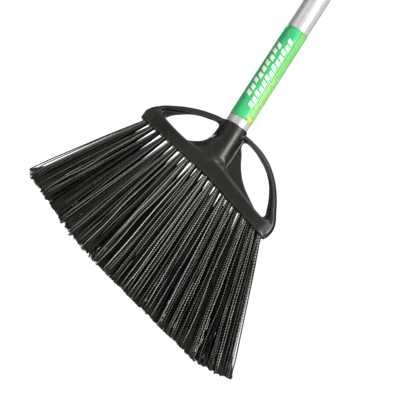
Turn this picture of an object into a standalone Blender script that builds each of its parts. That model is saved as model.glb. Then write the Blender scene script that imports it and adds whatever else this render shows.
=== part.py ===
"""Angle broom: a D-shaped plastic head with flared bristle tufts and a screw-in steel handle.

The broom stands as in use: the sweeping line on z = 0, X along the head, Y front to back
(front at -Y) and the handle leaning towards -X. The world's origin is the tip of a tuft in
the middle of the sweeping line. Dimensions are in millimetres, in a head frame whose origin
is the middle of the head's lower edge.
"""

import math

import bmesh
import bpy
from mathutils import Matrix, Vector

MM = 0.001

# Head
HEAD_X = -22.2625  # brings the tip of a middle tuft to the world's origin
HEAD_Z = 140.0  # the head's lower edge above the floor
HEAD_MID = -1.5
HEAD_HALF = 91.0
BOTTOM_ARCH = 3.4  # how far the lower edge rises in the middle
BAR_HALF_DEPTH_MID = 12.5
BAR_HALF_DEPTH_END = 9.0
RIM_HALF_DEPTH = 8.0
RIM_ROUND = 1.8
WEB_HALF_DEPTH = 2.2
NECK_HALF_DEPTH = 10.5
NECK_ROUND = 1.5

# Outlines in the head's plane, as (x, z) above the head's lower edge
BAR_TOP = [(-92.0, 2.6), (-92.5, 8.0), (-91.9, 14.0), (-88.0, 20.4), (-81.7, 21.2),
           (-60.0, 20.1), (-39.2, 19.0), (-29.3, 19.4), (-12.0, 22.0), (4.0, 23.0),
           (16.4, 21.2), (42.0, 17.9), (68.5, 14.6), (82.0, 15.0), (88.0, 13.0),
           (89.4, 8.0), (89.2, 2.6)]
RIM_OUTER = [(-92.6, 9.0), (-91.9, 15.0), (-86.5, 24.4), (-75.3, 35.8),
             (-59.0, 46.9), (-43.4, 55.0), (-30.0, 59.9), (-16.0, 63.2), (-1.8, 65.4),
             (9.0, 65.4), (27.8, 61.6), (47.0, 54.8), (63.6, 44.2), (78.8, 29.8),
             (88.6, 17.0), (89.7, 9.0), (88.0, 3.4), (78.0, 3.0), (50.0, 4.6), (0.0, 5.8),
             (-50.0, 4.8), (-80.0, 3.0), (-89.0, 3.4)]
RIM_INNER = [(-80.0, 14.0), (-82.3, 22.4), (-71.2, 32.8), (-56.5, 43.0), (-42.6, 50.6),
             (-29.8, 55.0), (-13.0, 58.2), (4.0, 60.6), (14.6, 60.0), (27.2, 56.8),
             (44.6, 50.6), (60.0, 40.4), (72.8, 27.4), (77.2, 18.0), (72.0, 12.6),
             (40.0, 12.6), (0.0, 13.6), (-40.0, 13.6)]
LEFT_OPENING = [(-73.6, 17.0), (-73.0, 24.0), (-65.2, 34.5), (-54.1, 44.0), (-40.4, 50.4),
                (-30.2, 53.4), (-26.6, 49.0), (-24.6, 41.5), (-26.4, 35.2), (-29.8, 29.0),
                (-34.0, 24.2), (-39.6, 20.4), (-44.0, 17.0)]
RIGHT_OPENING = [(3.2, 57.6), (11.3, 46.2), (20.6, 36.0), (35.4, 25.6), (54.0, 18.2),
                 (64.0, 12.6), (70.0, 13.0), (73.0, 18.8), (70.1, 25.2), (59.2, 38.4),
                 (47.3, 47.7), (30.9, 55.6), (14.9, 59.4), (6.0, 60.0)]
NECK = [(-38.0, 17.0), (-29.8, 19.6), (-24.8, 23.3), (-22.6, 30.0), (-23.6, 37.0),
        (-15.0, 40.0), (4.0, 30.0), (10.4, 23.4), (17.0, 20.0), (12.0, 12.0), (-30.0, 12.0)]

# Handle and socket, measured along the handle's axis from the head's lower edge
HANDLE_LEAN = math.radians(12.0)
HANDLE_FOOT_X = -1.0
SOCKET_RIM = 69.0
SOCKET_R = 16.1
SOCKET_R_LOW = 15.0
SOCKET_BORE_R = 13.1
SEAT = 45.5
THREAD_BORE_R = 9.95
THREAD_BORE_END = 18.0
TUBE_R = 12.7
TUBE_WALL = 0.5
TUBE_LOW = 48.1
TUBE_TOP = 1238.0
COLLAR_LOW = 45.8
PLUG_TOP = 76.0
PLUG_R = 11.9
THREAD_LOW = 20.4
THREAD_CORE_R = 7.9
THREAD_MAJOR_R = 9.5
THREAD_PITCH = 5.08
THREAD_TURNS = 4.3
LABEL_LOW = 75.8
LABEL_HIGH = 187.8
LABEL_IN_R = 12.85
LABEL_OUT_R = 13.1
CAP_IN_R = 13.0
CAP_OUT_R = 14.8
CAP_SKIRT = 28.0
CAP_HEIGHT = 34.0
CAP_FLAT = 6.5
HANG_HOLE_R = 5.0
ROUND_STEPS = 64

# Tufts
COLUMNS = 20
ROOT_LEFT = -86.8
ROOT_PITCH_LEFT = 8.3
ROOT_PITCH_RIGHT = 8.95
TIP_LEFT = -135.5
TIP_RIGHT = 165.0
END_COLUMNS = 3  # columns at each end with two rows; the others have three
ROW_PITCH_MID = 6.9
ROW_PITCH_END = 8.4
TIP_DEPTH_MID = 21.0
TIP_DEPTH_END = 15.0
TUFT_R = 2.45
TUFT_HOLE_R = 2.9
TUFT_IN_HEAD = 8.5
HOLE_SPARE = 2.2
FULL_AT = 0.35  # the share of its length at which a tuft has spread to its neighbours
TUFT_GAP = 0.2
TRIM_FLAT = (14.0, 106.0)  # the sweeping line is flat between these
TRIM_LEFT_RISE = 20.0
TRIM_RIGHT_RISE = 14.0


def clear_scene():
    for obj in list(bpy.data.objects):
        bpy.data.objects.remove(obj, do_unlink=True)


def collection(name):
    made = bpy.data.collections.new(name)
    bpy.context.scene.collection.children.link(made)
    return made


def material(name, colour, roughness, metallic=0.0):
    made = bpy.data.materials.new(name)
    made.use_nodes = True
    shader = made.node_tree.nodes["Principled BSDF"]
    shader.inputs["Base Color"].default_value = (*colour, 1.0)
    shader.inputs["Roughness"].default_value = roughness
    shader.inputs["Metallic"].default_value = metallic
    return made


def empty(name, location, where, parent=None):
    made = bpy.data.objects.new(name, None)
    where.objects.link(made)
    made.parent = parent
    made.location = [value * MM for value in location]
    return made


def add(mesh, name, where, parent):
    obj = bpy.data.objects.new(name, mesh)
    where.objects.link(obj)
    obj.parent = parent
    return obj


def finish(obj, surface, angle=35.0):
    """Gives the object its one material and smooth shading with sharp corners."""
    obj.data.materials.clear()
    obj.data.materials.append(surface)
    for face in obj.data.polygons:
        face.use_smooth = True
    obj.data.set_sharp_from_angle(angle=math.radians(angle))
    return obj


def as_mesh(obj):
    """Turns a curve, or an object with modifiers, into a welded mesh object in its place."""
    bpy.context.view_layer.update()
    shown = obj.evaluated_get(bpy.context.evaluated_depsgraph_get())
    mesh = bpy.data.meshes.new_from_object(shown)
    bm = bmesh.new()
    bm.from_mesh(mesh)
    bmesh.ops.remove_doubles(bm, verts=bm.verts, dist=1e-6)
    bmesh.ops.recalc_face_normals(bm, faces=bm.faces)
    bm.to_mesh(mesh)
    bm.free()
    name, place, home, parent = obj.name, obj.matrix_world.copy(), obj.users_collection[0], obj.parent
    bpy.data.objects.remove(obj, do_unlink=True)
    made = add(mesh, name, home, parent)
    made.matrix_world = place
    return made


def cutter(obj, where):
    for home in list(obj.users_collection):
        home.objects.unlink(obj)
    where.objects.link(obj)
    obj.hide_render = True
    obj.display_type = "WIRE"
    return obj


def combine(target, other, operation):
    step = target.modifiers.new(operation.title() + " " + other.name, "BOOLEAN")
    step.operation = operation
    step.solver = "EXACT"
    step.object = other


def plate(name, outlines, half_depth, where, head, rounded=0.0, resolution=4):
    """A flat outline in the head's plane, with its holes, as thick as twice half_depth."""
    curve = bpy.data.curves.new(name, "CURVE")
    curve.dimensions = "2D"
    curve.fill_mode = "BOTH"
    curve.extrude = (half_depth - rounded) * MM
    curve.bevel_depth = rounded * MM
    curve.offset = -rounded * MM
    curve.bevel_resolution = 1
    curve.resolution_u = resolution
    for points in outlines:
        spline = curve.splines.new("BEZIER")
        spline.bezier_points.add(len(points) - 1)
        for knot, (x, z) in zip(spline.bezier_points, points):
            knot.co = (x * MM, z * MM, 0.0)
            knot.handle_left_type = knot.handle_right_type = "AUTO"
        spline.use_cyclic_u = True
    obj = add(curve, name, where, head)
    obj.rotation_euler = (math.radians(90.0), 0.0, 0.0)
    return as_mesh(obj)


def turned(name, profile, where, parent, steps=ROUND_STEPS):
    """A profile of (radius, height) turned about the object's own Z axis."""
    mesh = bpy.data.meshes.new(name)
    edges = [(i, i + 1) for i in range(len(profile) - 1)]
    if profile[0][0] > 0.0:
        edges.append((len(profile) - 1, 0))
    mesh.from_pydata([(r * MM, 0.0, z * MM) for r, z in profile], edges, [])
    obj = add(mesh, name, where, parent)
    screw = obj.modifiers.new("Turn", "SCREW")
    screw.axis = "Z"
    screw.steps = screw.render_steps = steps
    screw.use_merge_vertices = True
    screw.merge_threshold = 0.00001
    screw.use_normal_calculate = True
    return obj


def bottom(x):
    """The height of the head's arched lower edge."""
    return BOTTOM_ARCH * (1.0 - min(1.0, ((x - HEAD_MID) / HEAD_HALF) ** 2))


def bar(where, cutters, head):
    """The bar that holds the tufts: its front outline, cut to a lens shape seen from above."""
    count = 24
    lower = [HEAD_MID + HEAD_HALF * (1.0 - 2.0 * i / count) * 0.985 for i in range(count + 1)]
    outline = BAR_TOP + [(x, bottom(x)) for x in lower]
    body = plate("head_frame", [outline], BAR_HALF_DEPTH_MID + 3.0, where, head, resolution=2)
    curve = bpy.data.curves.new("lens_plan", "CURVE")
    curve.dimensions = "2D"
    curve.fill_mode = "BOTH"
    curve.extrude = 20.0 * MM
    curve.resolution_u = 1
    spline = curve.splines.new("POLY")
    half = [i / 12.0 - 1.0 for i in range(25)]
    reach = HEAD_HALF + 2.0
    depth = [BAR_HALF_DEPTH_END + (BAR_HALF_DEPTH_MID - BAR_HALF_DEPTH_END) * (1.0 - t * t)
             for t in half]
    depth = [d * (1.0 - 0.28 * max(0.0, abs(t) - 0.9) / 0.1) for d, t in zip(depth, half)]
    ring = [(t * reach + HEAD_MID, d) for t, d in zip(half, depth)]
    ring += [(x, -d) for x, d in reversed(ring)]
    spline.points.add(len(ring) - 1)
    for point, (x, y) in zip(spline.points, ring):
        point.co = (x * MM, y * MM, 0.0, 1.0)
    spline.use_cyclic_u = True
    plan = add(curve, "lens_plan", cutters, head)
    plan.location = (0.0, 0.0, 10.0 * MM)
    combine(body, cutter(as_mesh(plan), cutters), "INTERSECT")
    return body


def socket_shape(where, parent):
    """The round socket, solid, with its rounded lower shoulder."""
    drop = SOCKET_RIM - 24.0
    profile = [(0.0, SOCKET_RIM), (SOCKET_R - 1.0, SOCKET_RIM), (SOCKET_R - 0.3, SOCKET_RIM - 0.3),
               (SOCKET_R, SOCKET_RIM - 1.0), (SOCKET_R_LOW, SOCKET_RIM - 38.0),
               (SOCKET_R_LOW - 0.5, SOCKET_RIM - 41.0), (SOCKET_R_LOW - 2.0, SOCKET_RIM - 43.6),
               (SOCKET_R_LOW - 5.0, SOCKET_RIM - drop - 0.6), (0.0, SOCKET_RIM - drop - 1.2)]
    return turned("socket_shape", profile, where, parent, steps=48)


def bore_shape(where, parent):
    """The stepped hole for the handle: a round seat for the tube above the threaded part."""
    profile = [(0.0, SOCKET_RIM + 5.0), (SOCKET_BORE_R + 0.6, SOCKET_RIM + 5.0),
               (SOCKET_BORE_R + 0.6, SOCKET_RIM), (SOCKET_BORE_R, SOCKET_RIM - 1.0),
               (SOCKET_BORE_R, SEAT), (THREAD_BORE_R, SEAT),
               (THREAD_BORE_R, THREAD_BORE_END), (0.0, THREAD_BORE_END)]
    return turned("handle_bore", profile, where, parent, steps=48)


def trim(x):
    """The height of the trimmed tips: on the floor in the middle, rising at the ends."""
    rise = 0.0
    if x < TRIM_FLAT[0]:
        rise = TRIM_LEFT_RISE * ((TRIM_FLAT[0] - x) / (TRIM_FLAT[0] - TIP_LEFT)) ** 2
    if x > TRIM_FLAT[1]:
        rise = TRIM_RIGHT_RISE * ((x - TRIM_FLAT[1]) / (TIP_RIGHT - TRIM_FLAT[1])) ** 2
    return rise - HEAD_Z


def column_edges():
    """The x of each column's edges at the head and at the tips."""
    step = (ROOT_PITCH_RIGHT - ROOT_PITCH_LEFT) / (COLUMNS - 1)
    roots = [ROOT_LEFT + i * ROOT_PITCH_LEFT + step * i * (i - 1) / 2.0
             for i in range(COLUMNS + 1)]
    tips = [TIP_LEFT + (TIP_RIGHT - TIP_LEFT) * i / COLUMNS for i in range(COLUMNS + 1)]
    return roots, tips


def tuft_plan():
    """One entry per tuft: its name, edges at the head and tips, and its straight line."""
    roots, tips = column_edges()
    plan = []
    for i in range(COLUMNS):
        middle = (roots[i] + roots[i + 1]) / 2.0
        short = i < END_COLUMNS or i >= COLUMNS - END_COLUMNS
        rows = 2 if short else 3
        pitch = ROW_PITCH_END if short else ROW_PITCH_MID
        share = ((middle - HEAD_MID) / HEAD_HALF) ** 2
        depth = TIP_DEPTH_MID - (TIP_DEPTH_MID - TIP_DEPTH_END) * share
        for j in range(rows):
            low, high = (j - rows / 2.0), (j + 1 - rows / 2.0)
            entry = {
                "name": f"tuft_{i + 1:02d}_{'abc'[j]}",
                "root_x": (roots[i], roots[i + 1]),
                "tip_x": (tips[i], tips[i + 1]),
                "root_y": (low * pitch, high * pitch),
                "tip_y": (low * 2.0 * depth / rows, high * 2.0 * depth / rows),
            }
            start = Vector((middle, (low + high) / 2.0 * pitch, bottom(middle)))
            end = Vector(((tips[i] + tips[i + 1]) / 2.0, sum(entry["tip_y"]) / 2.0,
                          (trim(tips[i]) + trim(tips[i + 1])) / 2.0))
            entry["start"], entry["lean"] = start, (end - start) / (start.z - end.z)
            plan.append(entry)
    return plan


def rounded_box(centre, half_x, half_y, corner, tilt=0.0):
    """Eight points round a section, level but for a tilt along x."""
    ring = [(half_x, -half_y + corner), (half_x, half_y - corner), (half_x - corner, half_y),
            (-half_x + corner, half_y), (-half_x, half_y - corner), (-half_x, -half_y + corner),
            (-half_x + corner, -half_y), (half_x - corner, -half_y)]
    return [Vector((centre[0] + x, centre[1] + y, centre[2] + tilt * x)) for x, y in ring]


def tuft_sections(entry):
    """A tuft's sections from inside the head to the tips: round at first, then near-square."""
    start, lean = entry["start"], entry["lean"]
    sections = []
    for drop in (-TUFT_IN_HEAD, 1.6):
        half_x = TUFT_R * math.hypot(1.0, lean.x)
        half_y = TUFT_R * math.hypot(1.0, lean.y)
        centre = start + lean * drop
        sections.append(rounded_box(centre, half_x, half_y, 0.586 * min(half_x, half_y)))
    for share in (FULL_AT, 1.0):
        edges = []
        for side in (0, 1):
            x = entry["root_x"][side] * (1.0 - share) + entry["tip_x"][side] * share
            z = start.z * (1.0 - share) + trim(entry["tip_x"][side]) * share
            edges.append((x, z))
        low, high = [a * (1.0 - share) + b * share for a, b in zip(entry["root_y"], entry["tip_y"])]
        half_x = (edges[1][0] - edges[0][0]) / 2.0 - TUFT_GAP
        half_y = (high - low) / 2.0 - TUFT_GAP
        tilt = (edges[1][1] - edges[0][1]) / (edges[1][0] - edges[0][0])
        centre = ((edges[0][0] + edges[1][0]) / 2.0, (low + high) / 2.0,
                  (edges[0][1] + edges[1][1]) / 2.0)
        corner = (0.2 + 0.1 * (1.0 - share)) * min(half_x, half_y)
        sections.append(rounded_box(centre, half_x, half_y, corner, tilt))
    return sections


def tuft(entry, where, head, surface):
    """One bundle of bristles as a plain solid, lofted through its sections."""
    sections = tuft_sections(entry)
    bm = bmesh.new()
    rings = [[bm.verts.new((p - entry["start"]) * MM) for p in ring] for ring in sections]
    for upper, lower in zip(rings, rings[1:]):
        for k in range(len(upper)):
            n = (k + 1) % len(upper)
            bm.faces.new((upper[k], upper[n], lower[n], lower[k]))
    bm.faces.new(rings[0])
    bm.faces.new(list(reversed(rings[-1])))
    bmesh.ops.recalc_face_normals(bm, faces=bm.faces)
    mesh = bpy.data.meshes.new(entry["name"])
    bm.to_mesh(mesh)
    bm.free()
    obj = add(mesh, entry["name"], where, head)
    obj.location = entry["start"] * MM
    return finish(obj, surface)


def tuft_holes(plan, cutters, head):
    """All the tuft holes as one cutter, each along its own tuft."""
    bm = bmesh.new()
    for entry in plan:
        up = -entry["lean"]
        depth = TUFT_IN_HEAD * up.length + HOLE_SPARE
        below = 4.0
        length = depth + below
        middle = entry["start"] + up.normalized() * (depth - below) / 2.0
        turn = up.to_track_quat("Z", "Y").to_matrix().to_4x4()
        bmesh.ops.create_cone(
            bm, cap_ends=True, segments=12, radius1=TUFT_HOLE_R * MM, radius2=TUFT_HOLE_R * MM,
            depth=length * MM, matrix=Matrix.Translation(middle * MM) @ turn)
    mesh = bpy.data.meshes.new("tuft_holes")
    bm.to_mesh(mesh)
    bm.free()
    return add(mesh, "tuft_holes", cutters, head)


def head_frame(where, cutters, head, axis, plan, surface):
    """The one-piece head: bar, D-shaped rim, thin web, neck and socket, then all its holes."""
    body = bar(where, cutters, head)
    rim = plate("rim_shape", [RIM_OUTER, RIM_INNER], RIM_HALF_DEPTH, cutters, head, RIM_ROUND)
    web_outer = [(x * 0.975 + HEAD_MID * 0.025, 4.0 + (z - 4.0) * 0.965) for x, z in RIM_OUTER]
    web = plate("web_shape", [web_outer, LEFT_OPENING, RIGHT_OPENING], WEB_HALF_DEPTH, cutters,
                head)
    neck = plate("neck_shape", [NECK], NECK_HALF_DEPTH, cutters, head, NECK_ROUND)
    for shape in (rim, web, neck, socket_shape(cutters, axis)):
        combine(body, cutter(shape, cutters), "UNION")
    for shape in (bore_shape(cutters, axis), tuft_holes(plan, cutters, head)):
        combine(body, cutter(shape, cutters), "DIFFERENCE")
    return finish(as_mesh(body), surface)


def handle_tube(where, axis, surface):
    inner = TUBE_R - TUBE_WALL
    profile = [(TUBE_R, TUBE_TOP), (TUBE_R, TUBE_LOW), (inner, TUBE_LOW), (inner, TUBE_TOP)]
    return finish(as_mesh(turned("handle_tube", profile, where, axis)), surface)


def label_sleeve(where, axis, surface):
    profile = [(LABEL_OUT_R, LABEL_HIGH), (LABEL_OUT_R, LABEL_LOW),
               (LABEL_IN_R, LABEL_LOW), (LABEL_IN_R, LABEL_HIGH)]
    return finish(as_mesh(turned("label_sleeve", profile, where, axis)), surface)


def thread_ridge(where, axis):
    """The helical ridge of the screw thread, as one closed strip."""
    root, crest = THREAD_CORE_R - 0.6, THREAD_MAJOR_R
    low = THREAD_LOW + 0.6
    profile = [(root, low), (crest, low + 0.9), (crest, low + 2.0), (root, low + 2.9)]
    mesh = bpy.data.meshes.new("thread_ridge")
    mesh.from_pydata([(r * MM, 0.0, z * MM) for r, z in profile], [(0, 1), (1, 2), (2, 3), (3, 0)], [])
    obj = add(mesh, "thread_ridge", where, axis)
    screw = obj.modifiers.new("Helix", "SCREW")
    screw.axis = "Z"
    screw.angle = math.radians(360.0 * THREAD_TURNS)
    screw.screw_offset = THREAD_PITCH * THREAD_TURNS * MM
    screw.steps = screw.render_steps = int(20 * THREAD_TURNS)
    screw.use_normal_calculate = True
    obj = as_mesh(obj)
    bm = bmesh.new()
    bm.from_mesh(obj.data)
    bmesh.ops.holes_fill(bm, edges=[e for e in bm.edges if e.is_boundary], sides=8)
    bmesh.ops.recalc_face_normals(bm, faces=bm.faces)
    bm.to_mesh(obj.data)
    bm.free()
    return obj


def thread_tip(where, cutters, axis, surface):
    """The plastic end of the handle: a plug in the tube, a collar and the screw thread."""
    profile = [(0.0, PLUG_TOP), (PLUG_R - 0.8, PLUG_TOP), (PLUG_R, PLUG_TOP - 1.6),
               (PLUG_R, TUBE_LOW - 0.3), (TUBE_R, TUBE_LOW - 0.3), (TUBE_R, COLLAR_LOW),
               (THREAD_CORE_R, COLLAR_LOW), (THREAD_CORE_R, THREAD_LOW + 1.2),
               (THREAD_CORE_R - 1.2, THREAD_LOW), (0.0, THREAD_LOW)]
    tip = turned("thread_tip", profile, where, axis)
    combine(tip, cutter(thread_ridge(cutters, axis), cutters), "UNION")
    return finish(as_mesh(tip), surface)


def hang_cap(where, cutters, axis, surface):
    """The end cap: a skirt over the tube and a flattened tab with a hole to hang it by."""
    top = TUBE_TOP + CAP_HEIGHT
    low = TUBE_TOP - CAP_SKIRT
    profile = [(0.0, top), (4.0, top - 0.4), (8.0, top - 2.4), (11.0, top - 5.6),
               (13.0, top - 10.0), (CAP_OUT_R - 0.8, top - 17.0), (CAP_OUT_R, TUBE_TOP + 6.0),
               (CAP_OUT_R, low + 1.0), (CAP_OUT_R - 0.6, low), (CAP_IN_R, low),
               (CAP_IN_R, TUBE_TOP + 0.4), (0.0, TUBE_TOP + 0.4)]
    cap = turned("hang_cap", profile, where, axis)
    for side in (-1.0, 1.0):
        bpy.ops.mesh.primitive_cube_add(size=1.0)
        flat = bpy.context.object
        flat.name = f"cap_flat_{'front' if side < 0 else 'back'}"
        flat.data.transform(Matrix.Diagonal((0.04, 0.02, 0.05, 1.0)))
        flat.parent = axis
        flat.location = (0.0, side * (CAP_FLAT + 10.0) * MM, (TUBE_TOP + 8.0 + 25.0) * MM)
        combine(cap, cutter(flat, cutters), "DIFFERENCE")
    bpy.ops.mesh.primitive_cylinder_add(vertices=32, radius=HANG_HOLE_R * MM, depth=0.04)
    hole = bpy.context.object
    hole.name = "hang_hole"
    hole.parent = axis
    hole.rotation_euler = (math.radians(90.0), 0.0, 0.0)
    hole.location = (0.0, 0.0, (TUBE_TOP + 20.0) * MM)
    combine(cap, cutter(hole, cutters), "DIFFERENCE")
    return finish(as_mesh(cap), surface)


def main():
    clear_scene()
    parts, cutters = collection("angle_broom"), collection("cutters")
    head_plastic = material("head_plastic", (0.022, 0.022, 0.020), 0.42)
    bristle = material("bristle", (0.018, 0.018, 0.017), 0.5)
    silver = material("silver_steel", (0.62, 0.63, 0.64), 0.32, 0.9)
    tip_plastic = material("tip_plastic", (0.05, 0.05, 0.05), 0.5)
    cap_plastic = material("cap_plastic", (0.022, 0.022, 0.020), 0.45)
    label_film = material("label_film", (0.05, 0.55, 0.20), 0.35)
    head = empty("head_origin", (HEAD_X, 0.0, HEAD_Z), parts)
    axis = empty("handle_axis", (HANDLE_FOOT_X, 0.0, 0.0), parts, head)
    axis.rotation_euler = (0.0, -HANDLE_LEAN, 0.0)
    bpy.context.view_layer.update()
    plan = tuft_plan()
    head_frame(parts, cutters, head, axis, plan, head_plastic)
    for entry in plan:
        tuft(entry, parts, head, bristle)
    handle_tube(parts, axis, silver)
    thread_tip(parts, cutters, axis, tip_plastic)
    hang_cap(parts, cutters, axis, cap_plastic)
    label_sleeve(parts, axis, label_film)


main()
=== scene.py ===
"""Looks of the angle broom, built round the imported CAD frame.

Lengths are in millimetres in the head frame, whose origin is the middle of the head's lower
edge, until place() turns them into metres in the row frame. The front is at -Y.
"""

import math

import bpy
import numpy as np
from mathutils import Matrix, Vector


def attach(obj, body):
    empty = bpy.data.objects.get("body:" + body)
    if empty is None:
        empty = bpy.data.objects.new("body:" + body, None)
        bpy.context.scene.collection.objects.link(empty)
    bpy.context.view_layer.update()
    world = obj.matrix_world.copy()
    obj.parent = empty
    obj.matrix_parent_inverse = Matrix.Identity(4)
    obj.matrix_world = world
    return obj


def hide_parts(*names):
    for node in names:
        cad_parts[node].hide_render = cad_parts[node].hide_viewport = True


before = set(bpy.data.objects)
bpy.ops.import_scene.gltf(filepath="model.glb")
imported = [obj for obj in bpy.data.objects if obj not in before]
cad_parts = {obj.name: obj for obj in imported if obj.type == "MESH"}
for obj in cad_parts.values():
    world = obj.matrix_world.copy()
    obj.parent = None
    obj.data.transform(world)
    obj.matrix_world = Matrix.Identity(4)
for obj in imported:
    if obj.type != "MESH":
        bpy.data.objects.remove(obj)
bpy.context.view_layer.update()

MM = 0.001
# Where the head frame stands in the row frame: HEAD_Z is the length of bristle that shows
HEAD_X, HEAD_Z = -22.2625, 140.0
# The handle's axis leans in the head's plane, from FOOT_X on the head's lower edge
LEAN = math.radians(12.0)
FOOT_X = -1.0
HEAD_MID, HEAD_HALF = -1.5, 91.0

COLUMNS = 20
LAST_COLUMN = COLUMNS - 1
MIDDLE_COLUMN = LAST_COLUMN / 2
END_COLUMNS = 3
# Rows in a column from front to back, and their pitch at the bar
END_ROWS, MIDDLE_ROWS = (2, 8.4), (3, 6.9)
ROOT_LEFT, ROOT_PITCH, ROOT_GROWTH = -86.8, 8.3, 0.65
TIP_LEFT, TIP_SPAN = -135.5, 300.5
HOLE_RADIUS = 2.75
# No fibre goes lower than this above the floor
LOWEST = 0.4 - HEAD_Z

# The label, along the handle's axis and about it
LABEL_LOW, LABEL_HIGH = 75.8, 187.8
FILM_OUTSIDE, FILM_INSIDE = 13.05, 12.86

random = np.random.default_rng(20)

# ---------------------------------------------------------------- helpers


def place(points):
    """Head-frame points in millimetres as row-frame points in metres."""
    return (np.asarray(points, float) + (HEAD_X, 0.0, HEAD_Z)) * MM


def on_handle(across, depth, along):
    """Head-frame points from places about the handle's axis."""
    c, s = math.cos(LEAN), math.sin(LEAN)
    across, depth, along = np.broadcast_arrays(across, depth, along)
    return np.stack([FOOT_X + c * across - s * along, depth, s * across + c * along], -1)


def make(name, points, faces, material):
    """A smooth-shaded piece from head-frame points."""
    mesh = bpy.data.meshes.new(name)
    mesh.from_pydata(place(points).tolist(), [], faces)
    mesh.materials.append(material)
    mesh.shade_smooth()
    obj = bpy.data.objects.new(name, mesh)
    bpy.context.scene.collection.objects.link(obj)
    return obj


def point_values(obj, name, values):
    """Stores one number at each point, for a material to read."""
    obj.data.attributes.new(name, "FLOAT", "POINT").data.foreach_set(
        "value", np.asarray(values, np.float32).ravel())


class Nodes:
    """A short way to write a material's node tree."""

    def __init__(self, name):
        self.material = bpy.data.materials.new(name)
        self.material.use_nodes = True
        self.tree = self.material.node_tree
        self.shader = self.tree.nodes["Principled BSDF"]

    def add(self, kind, links=(), values=(), **settings):
        """A new node, with its linked sockets, its sockets' values and its own settings."""
        node = self.tree.nodes.new(kind)
        for key, value in settings.items():
            setattr(node, key, value)
        for socket, value in dict(values).items():
            node.inputs[socket].default_value = value
        for socket, source in dict(links).items():
            self.tree.links.new(source, node.inputs[socket])
        return node

    def math(self, operation, *operands):
        node = self.tree.nodes.new("ShaderNodeMath")
        node.operation = operation
        for i, value in enumerate(operands):
            if isinstance(value, (int, float)):
                node.inputs[i].default_value = value
            else:
                self.tree.links.new(value, node.inputs[i])
        return node.outputs[0]

    def band(self, value, low, high, soft=0.0001):
        """1 between low and high, 0 outside, with soft edges."""
        rise = self.scaled(value, low - soft, low + soft, 0.0, 1.0)
        fall = self.scaled(value, high - soft, high + soft, 1.0, 0.0)
        return self.math("MULTIPLY", rise, fall)

    def scaled(self, value, low, high, to_low, to_high):
        """The value moved from the range low to high into another, and held inside it."""
        node = self.add("ShaderNodeMapRange", {"Value": value}, {
            "From Min": low, "From Max": high, "To Min": to_low, "To Max": to_high})
        return node.outputs["Result"]

    def blend(self, factor, a, b):
        """Colour a where factor is 0 and b where it is 1; each is a colour or a socket."""
        node = self.add("ShaderNodeMix", data_type="RGBA")
        for socket, value in ((0, factor), (6, a), (7, b)):
            if isinstance(value, tuple):
                node.inputs[socket].default_value = (*value, 1.0)
            elif isinstance(value, (int, float)):
                node.inputs[socket].default_value = value
            else:
                self.tree.links.new(value, node.inputs[socket])
        return node.outputs[2]

    def noise(self, vector, scale, detail=3.0, roughness=0.55):
        node = self.add("ShaderNodeTexNoise", {"Vector": vector}, {
            "Scale": scale, "Detail": detail, "Roughness": roughness})
        return node.outputs["Fac"]

    def mapped(self, vector, scale=(1, 1, 1), rotation=(0, 0, 0)):
        node = self.add("ShaderNodeMapping", {"Vector": vector}, {
            "Scale": scale, "Rotation": rotation})
        return node.outputs[0]

    def bump(self, height, distance, strength=1.0, normal=None):
        links = {"Height": height}
        if normal is not None:
            links["Normal"] = normal
        node = self.add("ShaderNodeBump", links, {"Distance": distance, "Strength": strength})
        return node.outputs[0]

    def surface(self, **inputs):
        names = {"colour": "Base Color", "roughness": "Roughness", "metallic": "Metallic",
                 "normal": "Normal", "specular": "Specular IOR Level"}
        for key, value in inputs.items():
            socket = self.shader.inputs[names[key]]
            if isinstance(value, tuple):
                socket.default_value = (*value, 1.0)
            elif isinstance(value, (int, float)):
                socket.default_value = value
            else:
                self.tree.links.new(value, socket)
        return self.material


# ---------------------------------------------------------------- materials


def moulded_plastic(name, colour, roughness):
    """Dark injection-moulded plastic: a fine eggshell grain, faint scuffs, uneven gloss."""
    n = Nodes(name)
    where = n.add("ShaderNodeTexCoord").outputs["Object"]
    grain = n.noise(where, 1500.0, 2.0)
    uneven = n.noise(where, 28.0, 4.0)
    scuffs = n.noise(n.mapped(where, (40.0, 40.0, 420.0), (0.3, 0.9, 0.2)), 6.0, 5.0, 0.7)
    scuff = n.scaled(scuffs, 0.62, 0.78, 0.0, 1.0)
    light = tuple(c * 1.9 + 0.004 for c in colour)
    dark = tuple(c * 0.8 for c in colour)
    tint = n.blend(n.scaled(uneven, 0.3, 0.7, 0.0, 1.0), dark, tuple(c * 1.2 for c in colour))
    tint = n.blend(n.math("MULTIPLY", scuff, 0.35), tint, light)
    gloss = n.math("ADD", n.scaled(uneven, 0.3, 0.7, roughness - 0.05, roughness + 0.06),
                   n.math("MULTIPLY", scuff, 0.08))
    height = n.bump(grain, 0.00004, 0.6)
    height = n.bump(uneven, 0.0004, 0.10, height)
    return n.surface(colour=tint, roughness=gloss, normal=height, specular=0.5)


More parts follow.
